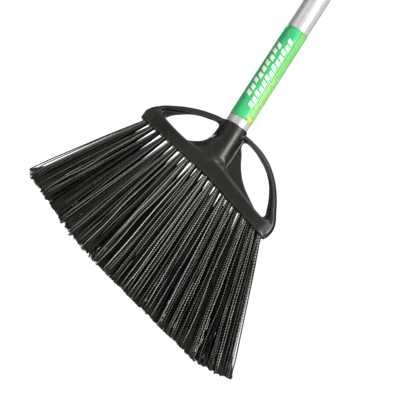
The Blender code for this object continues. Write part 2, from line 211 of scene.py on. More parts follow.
def bristle_fibre():
    """Dark plastic fibre: a fine twist along each, uneven tone with painted glints, painted shade
    in the twist's grooves, dull split ends.
    """
    n = Nodes("bristle_fibre")
    uv = n.add("ShaderNodeUVMap", uv_map="fibre").outputs[0]
    split = n.add("ShaderNodeSeparateXYZ", {"Vector": uv})
    turn, along = split.outputs[0], split.outputs[1]
    shade = n.add("ShaderNodeAttribute", attribute_name="shade").outputs["Fac"]
    crimp = n.add("ShaderNodeAttribute", attribute_name="crimp").outputs["Fac"]
    tip = n.add("ShaderNodeAttribute", attribute_name="tip").outputs["Fac"]
    twist_length = 2.6
    phase = n.math("ADD", n.math("MULTIPLY", along, 1.0 / twist_length), turn)
    twist = n.math("SINE", n.math("MULTIPLY", phase, math.tau))
    # painted shade: the colour darkens in the twist's grooves, as strongly as crimp says
    groove = n.math("MULTIPLY", n.scaled(twist, -0.3, 0.5, 0.95, 0.0), crimp)
    lift = n.math("MULTIPLY", shade, n.math("SUBTRACT", 1.0, groove))
    # the glint colour is a painted highlight: the brightest strands are coloured light grey
    black, painted_glint, worn_tip = (0.001, 0.001, 0.001), (0.70, 0.69, 0.64), (0.050, 0.050, 0.043)
    tone = n.blend(lift, black, painted_glint)
    tone = n.blend(n.math("MULTIPLY", tip, 0.75), tone, worn_tip)
    gloss = n.math("ADD", n.scaled(shade, 0.0, 1.0, 0.30, 0.44),
                   n.math("MULTIPLY", tip, 0.3))
    height = n.bump(n.math("MULTIPLY", twist, crimp), 0.00012, 0.8)
    shine = n.math("MULTIPLY", n.scaled(shade, 0.0, 1.0, 0.03, 0.45),
                   n.scaled(tip, 0.0, 1.0, 1.0, 0.3))
    return n.surface(colour=tone, roughness=gloss, normal=height, specular=shine)


def satin_tube():
    """Satin silver tube: fine draw lines along it, faint handling marks."""
    n = Nodes("satin_tube")
    where = n.add("ShaderNodeTexCoord").outputs["Object"]
    along = n.mapped(n.mapped(where, rotation=(0.0, LEAN, 0.0)), (900.0, 900.0, 5.0))
    lines = n.noise(along, 1.0, 3.0, 0.6)
    uneven = n.noise(n.mapped(where, (18.0, 18.0, 9.0)), 1.0, 4.0)
    dark, light, handled = (0.57, 0.575, 0.57), (0.64, 0.645, 0.64), (0.53, 0.535, 0.53)
    tint = n.blend(n.scaled(lines, 0.3, 0.7, 0.0, 1.0), dark, light)
    tint = n.blend(n.scaled(uneven, 0.35, 0.75, 0.0, 0.35), tint, handled)
    gloss = n.math("ADD", n.scaled(lines, 0.3, 0.7, 0.28, 0.34),
                   n.scaled(uneven, 0.3, 0.7, -0.02, 0.04))
    height = n.bump(lines, 0.00002, 0.2)
    return n.surface(colour=tint, roughness=gloss, metallic=0.5, normal=height)


# The label's print: across is in degrees round the handle from its front, and along is in
# millimetres from the label's lower end
LIME_PANEL, PANEL_BORDER = (30.0, 118.0), (27.6, 31.4)
PANEL_STRIPE, PALE_BAND = (32.5, 40.0), (43.4, 48.8)
FINE_LINES = ((40.5, 42.6), (49.6, 52.2))
CORNER_ACROSS, CORNER_ALONG = (32.0, 62.0), (-1.0, 4.5)
# Each row of plain bars: its two edges across, its start and end along, and its pitch
BAR_ROWS = ((-50.0, -18.0, 21.0, 87.6, 7.4), (-7.0, 22.5, 15.0, 99.5, 6.5))


def printed_film():
    """The label's print: green, a lime side panel with fine lines, and two rows of plain
    slanted bars."""
    n = Nodes("printed_film")
    uv = n.add("ShaderNodeUVMap", uv_map="film").outputs[0]
    split = n.add("ShaderNodeSeparateXYZ", {"Vector": uv})
    across, along = split.outputs[0], split.outputs[1]
    where = n.add("ShaderNodeTexCoord").outputs["Object"]
    mottle = n.noise(where, 260.0, 3.0)
    green = n.blend(n.scaled(along, 0.0, LABEL_HIGH - LABEL_LOW, 0.0, 1.0),
                    (0.042, 0.480, 0.165), (0.034, 0.420, 0.150))
    green = n.blend(n.scaled(mottle, 0.35, 0.75, 0.0, 0.25), green, (0.055, 0.56, 0.19))
    lime = n.blend(n.scaled(along, 20.0, 70.0, 0.0, 1.0), (0.22, 0.48, 0.15), (0.14, 0.46, 0.12))
    colour = n.blend(n.band(across, *LIME_PANEL, 0.4), green, lime)
    low_half = n.scaled(along, 42.0, 60.0, 1.0, 0.0)
    stripe = n.math("MULTIPLY", n.band(across, *PANEL_STRIPE, 0.4), low_half)
    colour = n.blend(stripe, colour, (0.34, 0.60, 0.10))
    fine = n.math("ADD", *[n.band(across, *line, 0.3) for line in FINE_LINES])
    fine = n.math("MULTIPLY", fine, low_half)
    colour = n.blend(n.math("MULTIPLY", fine, 0.85), colour, (0.03, 0.30, 0.07))
    pale = n.math("MULTIPLY", n.band(across, *PALE_BAND, 0.5), low_half)
    colour = n.blend(n.math("MULTIPLY", pale, 0.5), colour, (0.50, 0.72, 0.34))
    corner = n.math("MULTIPLY", n.band(across, *CORNER_ACROSS, 0.5),
                    n.band(along, *CORNER_ALONG, 1.0))
    colour = n.blend(corner, colour, (0.46, 0.62, 0.04))
    colour = n.blend(n.band(across, *PANEL_BORDER, 0.3), colour, (0.004, 0.10, 0.03))
    slanted = n.math("ADD", along, n.math("MULTIPLY", across, 0.10))
    for low, high, start, end, pitch in BAR_ROWS:
        beat = n.math("DIVIDE", n.math("SUBTRACT", slanted, start), pitch)
        wander = n.math("SINE", n.math("MULTIPLY", n.math("FLOOR", beat), 2.4))
        over = n.math("SUBTRACT", across, n.math("MULTIPLY", wander, 4.0))
        bars = n.math("MULTIPLY", n.band(n.math("FRACT", beat), 0.12, 0.80, 0.03),
                      n.math("MULTIPLY", n.band(over, low + 3.0, high - 3.0, 0.5),
                             n.band(slanted, start, end, 0.05)))
        colour = n.blend(bars, colour, (0.90, 0.90, 0.72))
    gloss = n.scaled(mottle, 0.3, 0.7, 0.24, 0.34)
    height = n.bump(n.noise(n.mapped(where, (60.0, 60.0, 30.0)), 1.0, 2.0), 0.0003, 0.12)
    return n.surface(colour=colour, roughness=gloss, normal=height, specular=0.5)


# ---------------------------------------------------------------- smooth moulded shapes


AUTO_HANDLE = 2.5614  # a Bezier curve's automatic handle is the span divided by this


def smooth_loop(knots, per=5):
    """Points on the smooth closed line through the knots."""
    here = np.array(knots, float)
    after = np.roll(here, -1, 0)
    ahead = after - here
    back = np.roll(ahead, 1, 0)
    ahead_length = np.linalg.norm(ahead, axis=1)[:, None]
    back_length = np.linalg.norm(back, axis=1)[:, None]
    turn = ahead / ahead_length + back / back_length
    turn /= np.linalg.norm(turn, axis=1)[:, None]
    out = here + turn * ahead_length / AUTO_HANDLE
    into = np.roll(here - turn * back_length / AUTO_HANDLE, -1, 0)
    t = (np.arange(per) / per)[None, :, None]
    here, out, into, after = (a[:, None, :] for a in (here, out, into, after))
    line = ((1 - t) ** 3 * here + 3 * (1 - t) ** 2 * t * out + 3 * (1 - t) * t * t * into
            + t ** 3 * after)
    return line.reshape(-1, 2)


def outline_distance(loop, x, z):
    """Signed distance in the plane to a closed outline, negative inside."""
    x, z = np.broadcast_arrays(x, z)
    nearest = np.full(x.shape, 1e9)
    inside = np.zeros(x.shape, bool)
    for (ax, az), (bx, bz) in zip(loop, np.roll(loop, -1, 0)):
        ex, ez = bx - ax, bz - az
        wx, wz = x - ax, z - az
        t = np.clip((wx * ex + wz * ez) / max(ex * ex + ez * ez, 1e-12), 0.0, 1.0)
        nearest = np.minimum(nearest, (wx - ex * t) ** 2 + (wz - ez * t) ** 2)
        if ez:
            inside ^= ((az > z) != (bz > z)) & (wx < ex * wz / ez)
    return np.sqrt(nearest) * np.where(inside, -1.0, 1.0)


def slab(flat, y, half, rounding):
    """An outline's distance turned into that of a plate with rounded edges."""
    a, b = flat + rounding, np.abs(y) - half + rounding
    return (np.minimum(np.maximum(a, b), 0.0)
            + np.hypot(np.maximum(a, 0.0), np.maximum(b, 0.0)) - rounding)


def join(a, b, fillet):
    """Union of two distances with a fillet."""
    h = np.maximum(fillet - np.abs(a - b), 0.0) / fillet
    return np.minimum(a, b) - h * h * fillet / 4.0


def cut(a, b, fillet):
    """What is left of a after b is taken away, with rounded edges."""
    return -join(-a, b, fillet)


def skin(distance, low, high, pitch):
    """Points and quads of the surface where distance is 0, inside the box low to high."""
    probe = 0.04
    axes = [np.arange(a, b + pitch, pitch) for a, b in zip(low, high)]
    field = distance(axes[0][:, None, None], axes[1][None, :, None], axes[2][None, None, :])
    field = np.where(np.abs(field) < 1e-9, 1e-9, field)
    solid = field < 0.0
    cells = tuple(n - 1 for n in field.shape)
    count = np.zeros(cells, int)
    corners = [(i, j, k) for i in (0, 1) for j in (0, 1) for k in (0, 1)]
    for i, j, k in corners:
        count += solid[i:i + cells[0], j:j + cells[1], k:k + cells[2]]
    mixed = np.argwhere((count > 0) & (count < 8))
    index = np.full(cells, -1)
    index[tuple(mixed.T)] = np.arange(len(mixed))
    total, hits = np.zeros((len(mixed), 3)), np.zeros((len(mixed), 1))
    for a in corners:
        for axis in range(3):
            if a[axis]:
                continue
            b = tuple(v + (n == axis) for n, v in enumerate(a))
            fa = field[tuple((mixed + a).T)]
            fb = field[tuple((mixed + b).T)]
            crossing = (fa < 0) != (fb < 0)
            t = np.where(crossing, fa / np.where(crossing, fa - fb, 1.0), 0.0)
            spot = np.array(a, float)[None, :] + np.outer(t, np.eye(3)[axis])
            total += spot * crossing[:, None]
            hits += crossing[:, None]
    points = (mixed + total / hits) * pitch + np.array(low)
    quads = []
    for axis in range(3):
        u, v = (axis + 1) % 3, (axis + 2) % 3
        near = [slice(None)] * 3
        far = [slice(None)] * 3
        near[axis], far[axis] = slice(0, -1), slice(1, None)
        change = solid[tuple(near)] != solid[tuple(far)]
        for site in np.argwhere(change):
            if 0 < site[u] < cells[u] and 0 < site[v] < cells[v]:
                ring = []
                for du, dv in ((0, 0), (-1, 0), (-1, -1), (0, -1)):
                    cell = site.copy()
                    cell[u] += du
                    cell[v] += dv
                    ring.append(int(index[tuple(cell)]))
                if not solid[tuple(site)]:
                    ring.reverse()
                quads.append(ring)
    for _ in range(2):  # each round moves the points onto the true surface
        here = distance(*points.T)
        slope = np.stack([(distance(*(points + step).T) - here) / probe
                          for step in np.eye(3) * probe], -1)
        size = np.maximum((slope ** 2).sum(1), 0.25)[:, None]
        move = slope * (here[:, None] / size)
        far = np.linalg.norm(move, axis=1)[:, None]
        points = points - move * np.minimum(1.0, 0.5 * pitch / np.maximum(far, 1e-9))
    return points, quads


# Outlines of the head seen from the front, in the head frame
BAR_TOP = [(-92.6, 2.6), (-93.2, 8.0), (-92.6, 14.2), (-88.0, 19.4), (-81.7, 19.6),
           (-60.0, 18.3), (-39.2, 18.4), (-29.3, 19.4), (-12.0, 22.0), (4.0, 23.0),
           (16.4, 21.2), (42.0, 17.9), (68.5, 15.4), (82.0, 15.6), (88.0, 13.0),
           (89.4, 8.0), (89.2, 2.6)]
RIM_OUTER = [(-93.4, 9.0), (-92.8, 15.3), (-87.2, 24.8), (-75.6, 36.3),
             (-59.7, 48.2), (-44.2, 56.7), (-30.6, 61.8), (-16.5, 64.7), (-1.8, 65.4),
             (9.3, 66.0), (29.3, 64.1), (48.3, 56.6), (64.3, 45.0), (78.8, 29.7),
             (88.4, 17.0), (89.7, 9.0), (88.0, 3.4), (78.0, 3.0), (50.0, 4.6), (0.0, 5.8),
             (-50.0, 6.8), (-80.0, 5.0), (-89.0, 5.0)]
RIM_INNER = [(-80.0, 14.0), (-82.3, 22.4), (-71.2, 32.8), (-56.8, 43.6), (-43.1, 51.7),
             (-30.3, 56.5), (-13.3, 59.8), (4.0, 61.4), (15.0, 61.4), (28.0, 58.6),
             (45.7, 52.2), (61.0, 41.4), (72.6, 27.2), (76.8, 18.0), (72.0, 12.6),
             (40.0, 12.6), (0.0, 13.6), (-40.0, 13.6)]
LEFT_OPENING = [(-74.0, 16.6), (-72.6, 23.6), (-65.0, 34.0), (-54.4, 44.4), (-40.8, 51.6),
                (-30.0, 54.9), (-25.4, 49.8), (-23.3, 41.7), (-25.8, 35.4), (-29.9, 29.4),
                (-34.3, 24.8), (-39.8, 20.2), (-44.0, 16.6)]
RIGHT_OPENING = [(3.8, 58.0), (12.0, 46.8), (21.2, 36.6), (35.9, 26.2), (54.3, 18.8),
                 (64.5, 14.6), (70.2, 15.0), (72.3, 18.8), (69.4, 24.8), (59.5, 38.7),
                 (48.2, 49.2), (31.8, 57.8), (15.4, 61.3), (6.6, 61.0)]
NECK = [(-38.0, 17.0), (-29.8, 19.6), (-24.8, 23.3), (-22.6, 30.0), (-23.6, 37.0),
        (-15.0, 40.0), (4.0, 30.0), (10.4, 23.4), (17.0, 20.0), (12.0, 12.0), (-30.0, 12.0)]
# Profiles of the socket and its bore: radius and place along the handle's axis
SOCKET = [(-9.0, 67.4), (13.6, 67.4), (14.0, 67.2), (14.2, 66.7), (14.4, 31.0), (14.0, 28.0),
          (12.6, 25.4), (10.0, 23.4), (-9.0, 22.8)]
BORE = [(-9.0, 74.0), (13.4, 74.0), (13.4, 67.4), (13.1, 66.8), (13.1, 45.5), (9.95, 45.5),
        (9.95, 18.0), (-9.0, 18.0)]
# Half the depth of each part of the head and the rounding of its edges; the bar's is at its
# ends, and then how much more it has in the middle
BAR_HALF_DEPTH, BAR_EDGE = (9.0, 3.5), 1.8
RIM_HALF_DEPTH, RIM_EDGE = 8.0, 5.0
WEB_HALF_DEPTH, WEB_EDGE = 2.2, 0.7
NECK_HALF_DEPTH, NECK_EDGE = 10.5, 1.6


def ramp(value, low, high):
    """0 up to low and 1 from high, with a smooth rise between."""
    t = np.clip((value - low) / (high - low), 0.0, 1.0)
    return t * t * (3.0 - 2.0 * t)


def lower_edge(x):
    """The height of the bar's lower edge, which bows up and is higher at the left."""
    bow = 3.4 * (1.0 - np.minimum(1.0, ((x - HEAD_MID) / HEAD_HALF) ** 2))
    return bow + 2.1 * (1.0 - ramp(x, -10.0, 55.0))


def column_lines():
    """The x of the column edges at the head and at the tips."""
    i = np.arange(COLUMNS + 1)
    roots = ROOT_LEFT + ROOT_PITCH * i + ROOT_GROWTH / LAST_COLUMN * i * (i - 1) / 2.0
    roots = roots - 2.3 * (1.0 - ramp(i, 8.0, 16.0)) - 0.8 * (i == 0)
    return roots, TIP_LEFT + TIP_SPAN * i / COLUMNS


def trim(x):
    """The height of the trimmed tips in the head frame; they curve up at both ends."""
    x = np.asarray(x, float)
    share = np.maximum(14.0 - x, 0.0) / 149.5
    left = 18.6 * share ** 2 + 3.2 * share * np.maximum(1.0 - share, 0.0)
    right = 14.0 * (np.maximum(x - 106.0, 0.0) / 59.0) ** 2
    return left + right - HEAD_Z


def tufts():
    """Each tuft's column, row letter, start and end, and half its width at root and tip."""
    roots, tips = column_lines()
    found = []
    for i in range(COLUMNS):
        middle = (roots[i] + roots[i + 1]) / 2.0
        at_end = i < END_COLUMNS or i > LAST_COLUMN - END_COLUMNS
        rows, pitch = END_ROWS if at_end else MIDDLE_ROWS
        depth = 21.0 - 6.0 * ((middle - HEAD_MID) / HEAD_HALF) ** 2
        for j in range(rows):
            at = j + 0.5 - rows / 2.0
            start = np.array([middle, at * pitch, lower_edge(middle)])
            end_x = (tips[i] + tips[i + 1]) / 2.0
            end = np.array([end_x, at * 2.0 * depth / rows,
                            (trim(tips[i]) + trim(tips[i + 1])) / 2.0])
            found.append({"column": i, "row": "abc"[j], "start": start, "end": end,
                          "tip_half": (TIP_SPAN / COLUMNS / 2.0, depth / rows),
                          "root_half": (roots[i + 1] - roots[i]) / 2.0})
    return found


def head_distance(x, y, z):
    """Signed distance to the one-piece head."""
    lower = np.linspace(89.6, -89.6, 25) + HEAD_MID
    bar_outline = BAR_TOP + [(a, float(lower_edge(a))) for a in lower]
    share = np.clip((x - HEAD_MID) / (HEAD_HALF + 2.0), -1.0, 1.0)
    half = BAR_HALF_DEPTH[0] + BAR_HALF_DEPTH[1] * (1.0 - share ** 2)
    end = np.clip((np.abs(x - HEAD_MID) - 77.0) / 14.5, 0.0, 1.0)
    half = half * np.sqrt(1.0 - 0.88 * end ** 2)
    body = slab(outline_distance(smooth_loop(bar_outline, 3), x, z), y, half, BAR_EDGE)
    outer = outline_distance(smooth_loop(RIM_OUTER), x, z)
    inner = outline_distance(smooth_loop(RIM_INNER), x, z)
    rim = cut(slab(outer, y, RIM_HALF_DEPTH, RIM_EDGE), inner, 1.2)
    openings = np.minimum(outline_distance(smooth_loop(LEFT_OPENING), x, z),
                          outline_distance(smooth_loop(RIGHT_OPENING), x, z))
    web = slab(np.maximum(outer + 1.5, -openings), y, WEB_HALF_DEPTH, WEB_EDGE)
    neck = slab(outline_distance(smooth_loop(NECK), x, z), y, NECK_HALF_DEPTH, NECK_EDGE)
    c, s = math.cos(LEAN), math.sin(LEAN)
    across, along = c * (x - FOOT_X) + s * z, -s * (x - FOOT_X) + c * z
    radius = np.hypot(across, y)
    socket = outline_distance(np.array(SOCKET), radius, along)
    bore = outline_distance(np.array(BORE), radius, along)
    body = join(body, rim, 2.4)
    body = join(body, web, 2.6)
    body = join(body, neck, 2.2)
    tight = np.maximum(np.clip((across + 6.0) / 12.0, 0.0, 1.0), ramp(along, 46.0, 60.0))
    body = join(body, socket, 9.0 - 6.8 * tight)
    body = cut(body, bore, 0.8)
    holes = np.full(np.broadcast(x, y, z).shape, 1e3)
    for tuft in TUFTS:
        start, line = tuft["start"], tuft["end"] - tuft["start"]
        line = line / np.linalg.norm(line)
        wx, wy, wz = x - start[0], y - start[1], z - start[2]
        t = np.clip(wx * line[0] + wy * line[1] + wz * line[2], -11.0, 6.0)
        holes = np.minimum(holes, np.sqrt((wx - line[0] * t) ** 2 + (wy - line[1] * t) ** 2
                                          + (wz - line[2] * t) ** 2) - HOLE_RADIUS)
    return cut(body, holes, 0.7)


def cap_distance(across, depth, along):
    """Signed distance to the end cap, in places about the handle's axis."""
    top, low, seat = 1272.0, 1210.0, 1238.4
    flat_half, flat_low = 6.5, 1246.0
    hole_at, hole_radius = 1258.0, 5.0
    outside = [(-9.0, top), (3.0, top - 0.2), (7.0, top - 1.6), (10.4, top - 5.0),
               (12.8, top - 10.0), (14.2, top - 17.0), (14.8, 1244.0), (14.8, low + 1.0),
               (14.2, low), (-9.0, low)]
    inside = [(-9.0, seat), (13.0, seat), (13.0, low - 5.0), (-9.0, low - 5.0)]
    radius = np.hypot(across, depth)
    body = outline_distance(np.array(outside), radius, along)
    flats = np.maximum(flat_half - np.abs(depth), flat_low - along)
    body = cut(body, flats, 3.0)
    body = cut(body, outline_distance(np.array(inside), radius, along), 0.6)
    hole = np.hypot(across, along - hole_at) - hole_radius
    body = cut(body, hole, 2.0)
    for groove in (1216.0, 1220.0, 1224.0):
        body = cut(body, np.hypot(radius - 15.2, along - groove) - 0.8, 0.5)
    return body


# ---------------------------------------------------------------- bristles

# The open gaps between neighbouring columns: width at the bar and reach below it, in mm
GAPS = ((3.5, 62), (3.7, 94), (4.3, 98), (4.5, 108), (3.2, 40), (3.7, 66), (2.8, 32), (3.6, 50),
        (2.5, 30), (2.3, 22), (2.3, 22), (2.1, 16), (2.1, 26), (1.5, 14), (1.0, 11), (1.4, 34),
        (0.8, 8), (0.6, 6), (0.6, 6))
# How far the tufts of each row spread over their neighbours at the tips
WIDEN = {"a": 0.7, "b": 1.3, "c": 1.0}
# Where the coarse strands of the two end columns stand across their column, and how much
# thicker they are
END_STRANDS = {0: (-0.96, -0.80, -0.48, -0.20, 0.20, 0.70),
               LAST_COLUMN: (-0.84, -0.40, 0.00, 0.34, 0.64, 0.95)}
END_EXTRA = {0: 0.10, LAST_COLUMN: 0.26}
COARSE = 6
# Fine fibres of a front or back row in a column of two and of three rows, and of a middle row
FINE_OF_TWO, FINE_OF_THREE, FINE_IN_MIDDLE = 48, 34, 38
FIBRE_STEPS, FIBRE_SIDES = 15, 5
HAIRS, HAIR_STEPS, HAIR_SIDES, HAIR_RADIUS = 5, 4, 3, 0.16
CLUMPS = 5


def strand_lines(tuft, coarse, fine, outward):
    """Centre lines of a tuft's fibres, the coarse ones first, and their places across it.

    outward is -1 or 1 where the coarse strands lie on the front or the back of the tuft.
    """
    column, count = tuft["column"], coarse + fine
    edge = column in (0, LAST_COLUMN)
    even = np.concatenate([(np.arange(coarse) + 0.5) / coarse * 2.0 - 1.0,
                           (random.permutation(fine) + random.uniform(size=fine))
                           / fine * 2.0 - 1.0])
    b = np.concatenate([outward * random.uniform(0.5, 1.0, coarse),
                        random.uniform(-0.85, 0.85, fine)])
    t = np.linspace(-0.045, 1.0, FIBRE_STEPS)[None, :]
    stand = even + np.where(np.arange(count) < coarse, random.uniform(-0.07, 0.07, count), 0.0)
    if edge:
        side = 1.0 if column == 0 else -1.0
        keep = 0.60 if column or tuft["row"] == "a" else 0.72
        stand = side + (even - side) * keep
        if tuft["row"] == "a":
            stand[:coarse] = END_STRANDS[column]
    opened = ramp(t, 0.02, 0.3) * (1.0 - ramp(t, 0.87, 0.97))
    wide = even[:, None] + (stand - even)[:, None] * opened
    start, end = tuft["start"], tuft["end"]
    length = np.linalg.norm(end - start)
    beside = np.where(even < 0.0, max(column - 1, 0), min(column, LAST_COLUMN - 1))
    width, gap = [np.array(GAPS)[beside, i][:, None] for i in (0, 1)]
    gap = gap / length
    if column == 0:
        gap = np.where(even[:, None] < 0.0, 1.0, gap)
    if column == LAST_COLUMN:
        gap = np.where(even[:, None] < 0.0, gap, 1.0)
    root = 2.25
    full = tuft["root_half"] * (1.0 - t) + tuft["tip_half"][0] * t
    reach = full - (width / 2.0 + 0.4) * np.clip(1.0 - t / gap, 0.0, 1.0)
    reach = reach + (0.0 if edge else WIDEN[tuft["row"]]) * ramp(t, gap, gap + 0.15)
    round_off = 1.0 - 0.3 * (1.0 - ramp(t, 0.0, 0.15)) * b[:, None] ** 2
    depth = root + (tuft["tip_half"][1] - root) * (0.55 * ramp(t, 0.0, 0.4) + 0.45 * t)
    x = start[0] + (end[0] - start[0]) * t + wide * reach * round_off
    y = start[1] + (end[1] - start[1]) * t + b[:, None] * depth
    calm = 0.06 if edge else 1.0
    size = random.gamma(2.0, 0.20, (count, 1)) * calm
    waves = random.uniform(0.0, math.tau, (count, 1))
    beats = random.uniform(0.7, 2.2, (count, 1))
    x = x + size * ramp(t, 0.15, 0.6) * np.sin(waves + math.tau * beats * t)
    return x, y, t, even


def tubes(lines, radii, sides):
    """Thin closed tubes along the lines: points (n, k, sides, 3) and their faces."""
    n, k, _ = lines.shape
    ahead = np.gradient(lines, axis=1)
    ahead /= np.linalg.norm(ahead, axis=2, keepdims=True)
    side = np.cross(ahead, (0.0, 1.0, 0.0))
    side /= np.linalg.norm(side, axis=2, keepdims=True)
    front = np.cross(side, ahead)
    turn = math.tau * np.arange(sides) / sides
    ring = (np.cos(turn)[:, None] * side[:, :, None, :]
            + np.sin(turn)[:, None] * front[:, :, None, :])
    points = lines[:, :, None, :] + radii[:, :, None, None] * ring
    base = np.arange(n * k * sides).reshape(n, k, sides)
    after = np.roll(base, -1, 2)
    walls = np.stack([base[:, :-1], base[:, 1:], after[:, 1:], after[:, :-1]], -1)
    ends = [base[:, 0, :], base[:, -1, ::-1]]
    return points, walls.reshape(-1, 4), ends


def fibre_uv(n, k, sides, along):
    """Turn and length at each wall corner, in the order tubes() makes them."""
    s = np.arange(sides) / sides
    u0 = np.broadcast_to(s, (n, k - 1, sides))
    u1 = u0 + 1.0 / sides
    v0 = np.broadcast_to(along[:, :-1, None], (n, k - 1, sides))
    v1 = np.broadcast_to(along[:, 1:, None], (n, k - 1, sides))
    return np.stack([np.stack([u0, v0], -1), np.stack([u0, v1], -1), np.stack([u1, v1], -1),
                     np.stack([u1, v0], -1)], -2).reshape(-1, 2)


def split_ends(lines):
    """Fine hairs that the last part of each fibre splits into."""
    n, k, _ = lines.shape
    tail = random.uniform(7.0, 15.0, (n, 1))
    length = np.linalg.norm(lines[:, -1] - lines[:, 0], axis=1)[:, None]
    start = 1.0 - tail / length
    made = []
    for _ in range(HAIRS):
        s = np.linspace(0.0, 1.0, HAIR_STEPS)[None, :]
        t = start + (1.0 - start) * s * random.uniform(0.8, 1.08, (n, 1))
        position = t * (k - 1)
        low = np.clip(position.astype(int), 0, k - 2)
        mix = (position - low)[:, :, None]
        rows = np.arange(n)[:, None]
        line = lines[rows, low] * (1 - mix) + lines[rows, low + 1] * mix
        angle = random.uniform(0.0, math.tau, (n, 1))
        spread = random.gamma(3.0, 0.42, (n, 1)) * s ** 1.3
        line = line + np.stack([np.cos(angle) * spread, np.sin(angle) * spread,
                                0.15 * spread], -1)
        line[..., 2] = np.maximum(line[..., 2], LOWEST)
        made.append(line)
    return np.concatenate(made)


def loose_lines(tuft, coarse, fine, outward, thin):
    """A tuft's fibres with their strays and uneven ends: centre lines, and the distance
    along and the share of the worn tip at each point."""
    column, count = tuft["column"], coarse + fine
    x, y, t, across = strand_lines(tuft, coarse, fine, outward)
    stray_share = 0.0 if column in (0, LAST_COLUMN) else 0.03 + 0.12 * thin
    stray = random.uniform(size=count) < stray_share
    lean = np.where(stray, random.uniform(-9.0, 9.0, count), 0.0)[:, None]
    x = x + lean * np.maximum(t, 0.0) ** 1.3
    y = y + np.abs(lean) * 0.25 * t * outward
    level = trim(x[:, -1:])
    clump = np.minimum(((across + 1.0) * CLUMPS / 2.0).astype(int), CLUMPS - 1)
    ends = np.where(random.uniform(size=CLUMPS) < 0.3, -1.8, 0.6)
    ends = ends + random.normal(0.0, 1.2, CLUMPS)
    ends = ends * (1.0 - 0.4 * ramp(np.abs(column - MIDDLE_COLUMN), 4.0, 9.0))
    short = (ends[clump] + np.abs(random.normal(0.0, 1.1, count)))[:, None]
    level = np.maximum(level, LOWEST - np.minimum(short, 0.0))
    top = tuft["start"][2]
    z = top + (level + short - top) * t
    length = top - level
    along = t * length
    return np.stack([x, y, z], -1), along, ramp(along, length - 13.0, length - 4.0)


def fibre_looks(column, coarse, fine, outward, thin, tail):
    """Each fibre's radius along it, its brightness with painted light across the columns and
    painted shade on a middle row, and how strongly its twist shows.
    """
    count = coarse + fine
    thick = np.arange(count)[:, None] < coarse
    radius = np.where(thick, random.uniform(0.50, 0.62, (count, 1)) + END_EXTRA.get(column, 0.0),
                      random.uniform(0.32, 0.42, (count, 1)))
    tones = (random.permutation(COARSE) + random.uniform(size=COARSE)) / COARSE
    tones = tones ** (1.5 + 0.6 * thin) * random.uniform(0.75, 1.0)
    tones = np.append(tones, np.zeros(count))[:count, None]
    dull = 0.02 + 0.16 * (1.0 - ramp(column, 3.0, 8.0)) + 0.02 * ramp(column, 12.0, 16.0)
    # painted light: the middle columns are coloured brightest, the right ones darker and the left
    # ones darkest
    lit = 0.24 + 0.64 * ramp(column, 3.0, 9.0) - 0.38 * ramp(column, 12.0, 16.0)
    shade = np.where(thick, tones, random.uniform(0.3, 1.0, (count, 1)) * dull)
    # painted shade: a middle row, between a tuft's front and back rows, is coloured darker
    shade = shade * lit * (1.0 if outward else 0.4)
    # painted light: the twist, with its painted groove shade, shows more strongly from the middle
    # columns to the right end
    twist_by_column = 0.3 + 0.7 * ramp(column, 3.0, 12.0)
    crimp = np.where(thick, twist_by_column * random.uniform(0.7, 1.0, (count, 1)), 0.3)
    return radius * (1.0 - 0.35 * tail), shade, crimp


def bristle_column(column, material):
    """All the fibres of one column of tufts, as one piece."""
    points, faces, corners, shades, crimps, tips = [], [], [], [], [], []
    offset = 0
    mine = [t for t in TUFTS if t["column"] == column]
    thin = ramp(column, 4.0, 7.0) * (1.0 - ramp(column, 12.0, 15.0))
    fine_outside = FINE_OF_TWO if len(mine) == 2 else FINE_OF_THREE
    for tuft in mine:
        outward = {mine[0]["row"]: -1.0, mine[-1]["row"]: 1.0}.get(tuft["row"], 0.0)
        coarse, fine = (COARSE, fine_outside) if outward else (0, FINE_IN_MIDDLE)
        count = coarse + fine
        lines, along, tail = loose_lines(tuft, coarse, fine, outward, thin)
        radii, shade, crimp = fibre_looks(column, coarse, fine, outward, thin, tail)
        fibre_run = along + random.uniform(0.0, 9.0, (count, 1))
        hairs = split_ends(lines)
        each = np.ones((len(hairs), 1))
        hair_s = np.linspace(0.0, 1.0, HAIR_STEPS)[None, :]
        sets = ((lines, radii, FIBRE_SIDES, fibre_run, tail),
                (hairs, HAIR_RADIUS * (1.0 - 0.4 * hair_s) * each, HAIR_SIDES,
                 hair_s * 9.0 * each, (0.4 + 0.6 * hair_s) * each))
        for line, radius, sides, run, worn in sets:
            n, k, _ = line.shape
            ring, walls, ends = tubes(line, radius, sides)
            points.append(ring.reshape(-1, 3))
            faces += (walls + offset).tolist()
            corners.append(fibre_uv(n, k, sides, run))
            for end in ends:
                faces += (end + offset).tolist()
                corners.append(np.zeros((end.size, 2)))
            for store, value in ((shades, shade), (crimps, crimp), (tips, worn)):
                value = np.tile(value, (n // len(value), 1))
                store.append(np.broadcast_to(value[:, :, None], (n, k, sides)).ravel())
            offset += n * k * sides
    obj = make(f"bristles_{column + 1:02d}", np.concatenate(points), faces, material)
    obj.data.uv_layers.new(name="fibre").data.foreach_set(
        "uv", np.concatenate(corners).astype(np.float32).ravel())
    for name, values in (("shade", shades), ("crimp", crimps), ("tip", tips)):
        point_values(obj, name, np.concatenate(values))
    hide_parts(*[f"tuft_{column + 1:02d}_{t['row']}" for t in mine])
    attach(obj, "head")


# ---------------------------------------------------------------- head and handle


SKIN_PITCH = 0.8


def head(material):
    points, quads = skin(head_distance, (-96.0, -19.0, -3.0), (94.0, 19.0, 72.0), SKIN_PITCH)
    obj = make("head_moulding", points, quads, material)
    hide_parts("head_frame")
    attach(obj, "head")


def end_cap(material):
    low, high = (-17.0, -17.0, 1207.0), (17.0, 17.0, 1275.0)
    points, quads = skin(cap_distance, low, high, SKIN_PITCH)
    obj = make("end_cap", on_handle(*points.T), quads, material)
    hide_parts("hang_cap")
    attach(obj, "handle")


